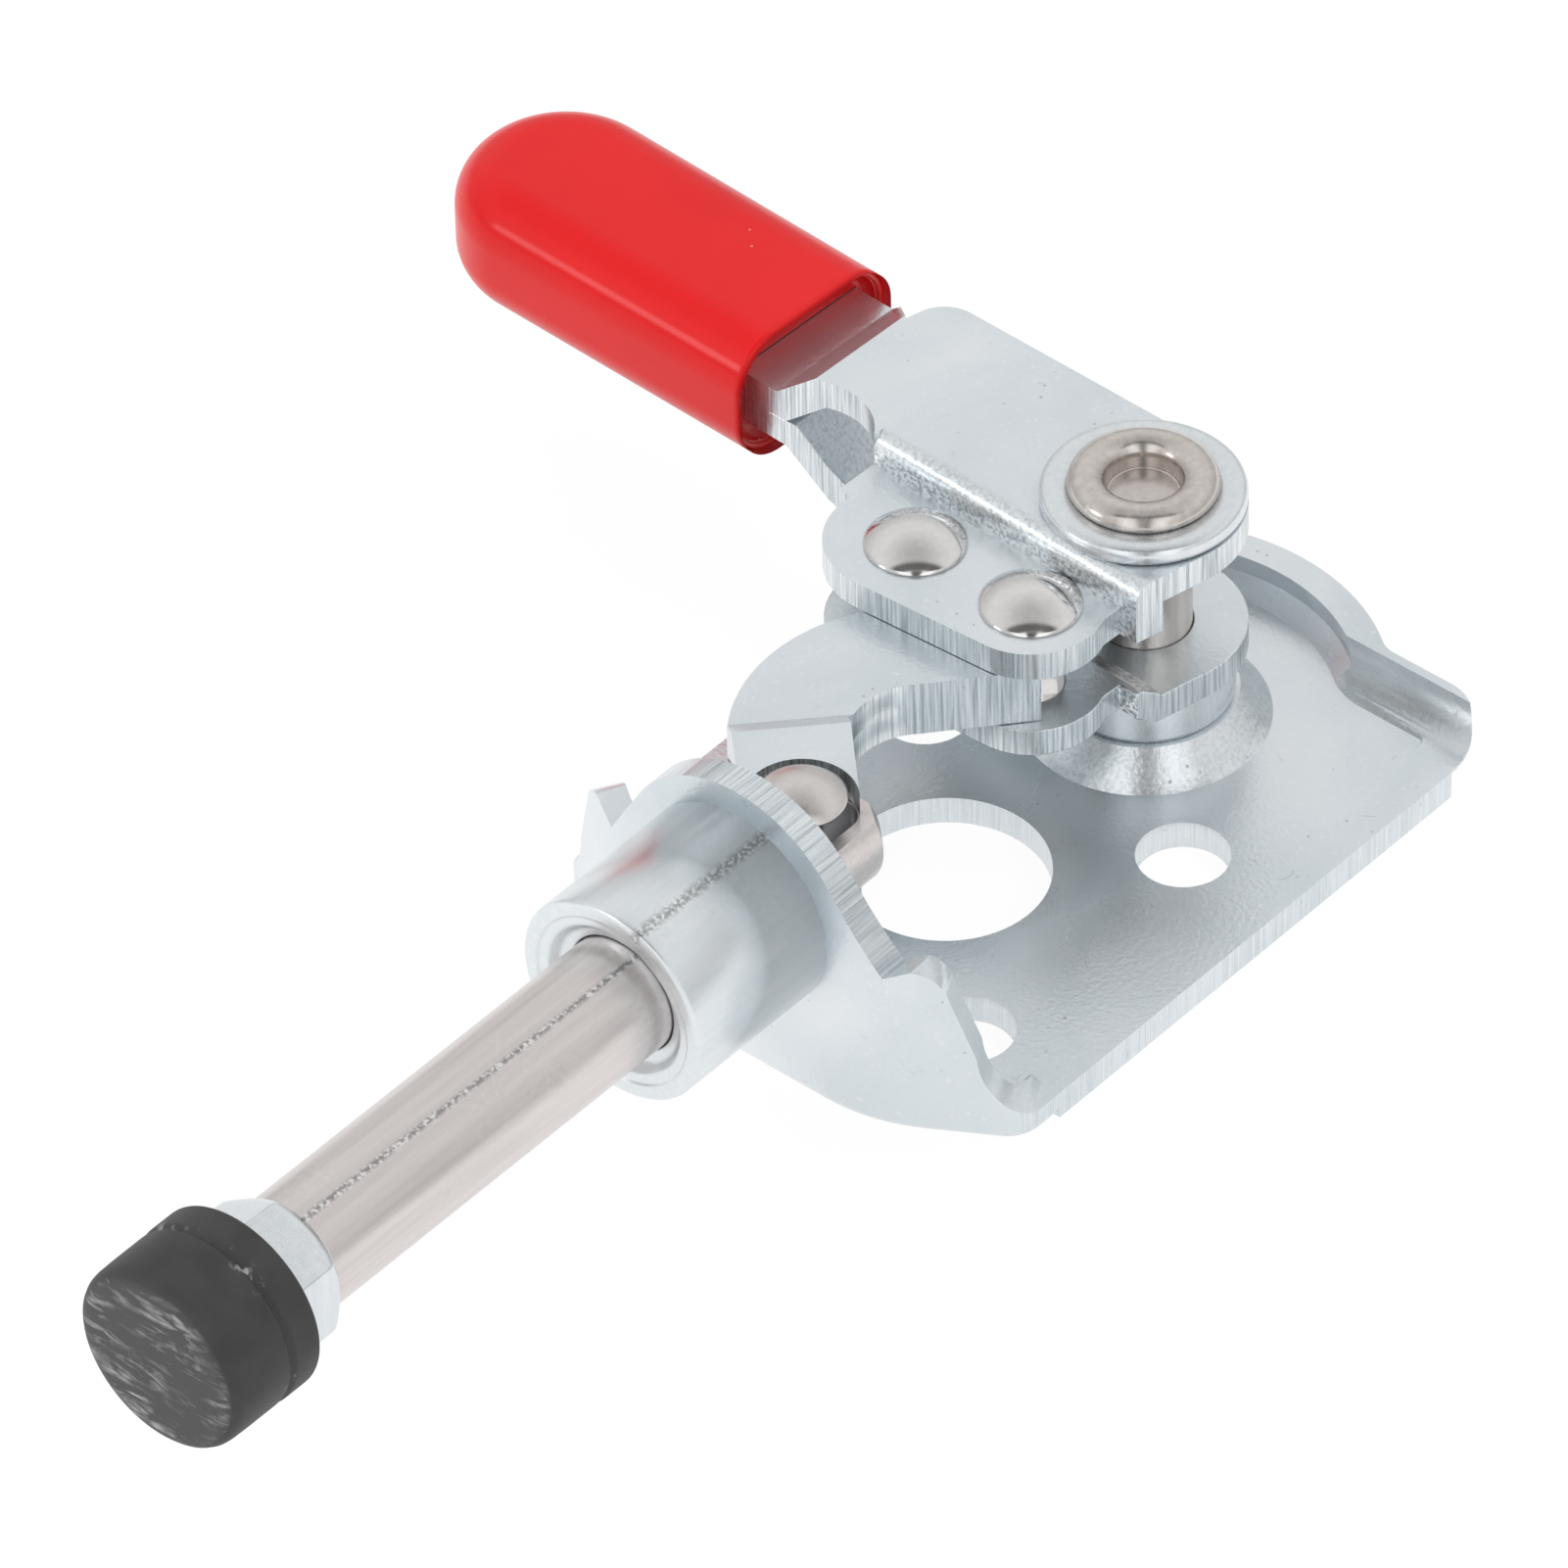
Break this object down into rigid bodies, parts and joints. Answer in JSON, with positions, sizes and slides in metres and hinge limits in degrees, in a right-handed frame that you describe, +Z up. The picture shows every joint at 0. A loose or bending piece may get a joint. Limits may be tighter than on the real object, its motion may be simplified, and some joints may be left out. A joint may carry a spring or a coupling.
{
  "type": "push-pull toggle clamp",
  "caption": "Sheet-steel push-pull toggle clamp: a red-gripped lever swings beside a flanged base and drives a sleeved plunger with a rubber tip.",
  "frame": {"origin": "centre of the four mounting holes, on the underside of the base", "axes": "+X along the plunger towards the rubber tip, +Z up from the mounting face, the lever points to -Y"},
  "size_m": [0.0837, 0.0595, 0.0172],
  "materials": {
    "zinc": "bright zinc plate, bluish grey, lightly scratched",
    "nickel": "nickel plate, warm grey, drawn streaks",
    "bright": "smooth bright domes",
    "rubber": "moulded black rubber with a chalky bloom",
    "red_vinyl": "dipped glossy red vinyl"
  },
  "bodies": {
    "base": {"base_plate": "zinc", "plunger_sleeve": "zinc", "pivot_stud": "nickel", "pivot_spacer": "zinc", "pivot_washer": "zinc"},
    "handle": {"handle_upper_leaf": "zinc", "handle_lower_leaf": "zinc", "grip": "red_vinyl", "link_rivet": "bright", "stop_rivet": "bright", "stop_bush": "zinc"},
    "link": {"link_upper": "zinc", "link_lower": "zinc", "plunger_rivet": "nickel"},
    "plunger": {"plunger": "nickel", "lock_nut": "zinc"},
    "tip": {"tip_screw": "zinc", "rubber_tip": "rubber"}
  },
  "joints": [
    {"name": "handle_pivot", "type": "hinge", "parent": "base", "child": "handle", "pos_m": [-0.01505, 0, 0.01015], "axis": [0, 0, -1], "range_deg": [0, 90]},
    {"name": "link_pivot", "type": "hinge", "parent": "handle", "child": "link", "pos_m": [-0.00727, -0.00063, 0.01015], "axis": [0, 0, 1], "range_deg": [0, 117.5]},
    {"name": "plunger_slide", "type": "slide", "parent": "base", "child": "plunger", "axis": [-1, 0, 0], "range_m": [0, 0.00928]},
    {"name": "tip_adjust", "type": "slide", "parent": "plunger", "child": "tip", "axis": [1, 0, 0], "range_m": [0, 0.005]}
  ],
  "couplings": [
    {"joint": "link_pivot", "follows": "handle_pivot", "ratio": 1.3},
    {"joint": "plunger_slide", "follows": "handle_pivot", "m_per_rad": 0.00588}
  ]
}
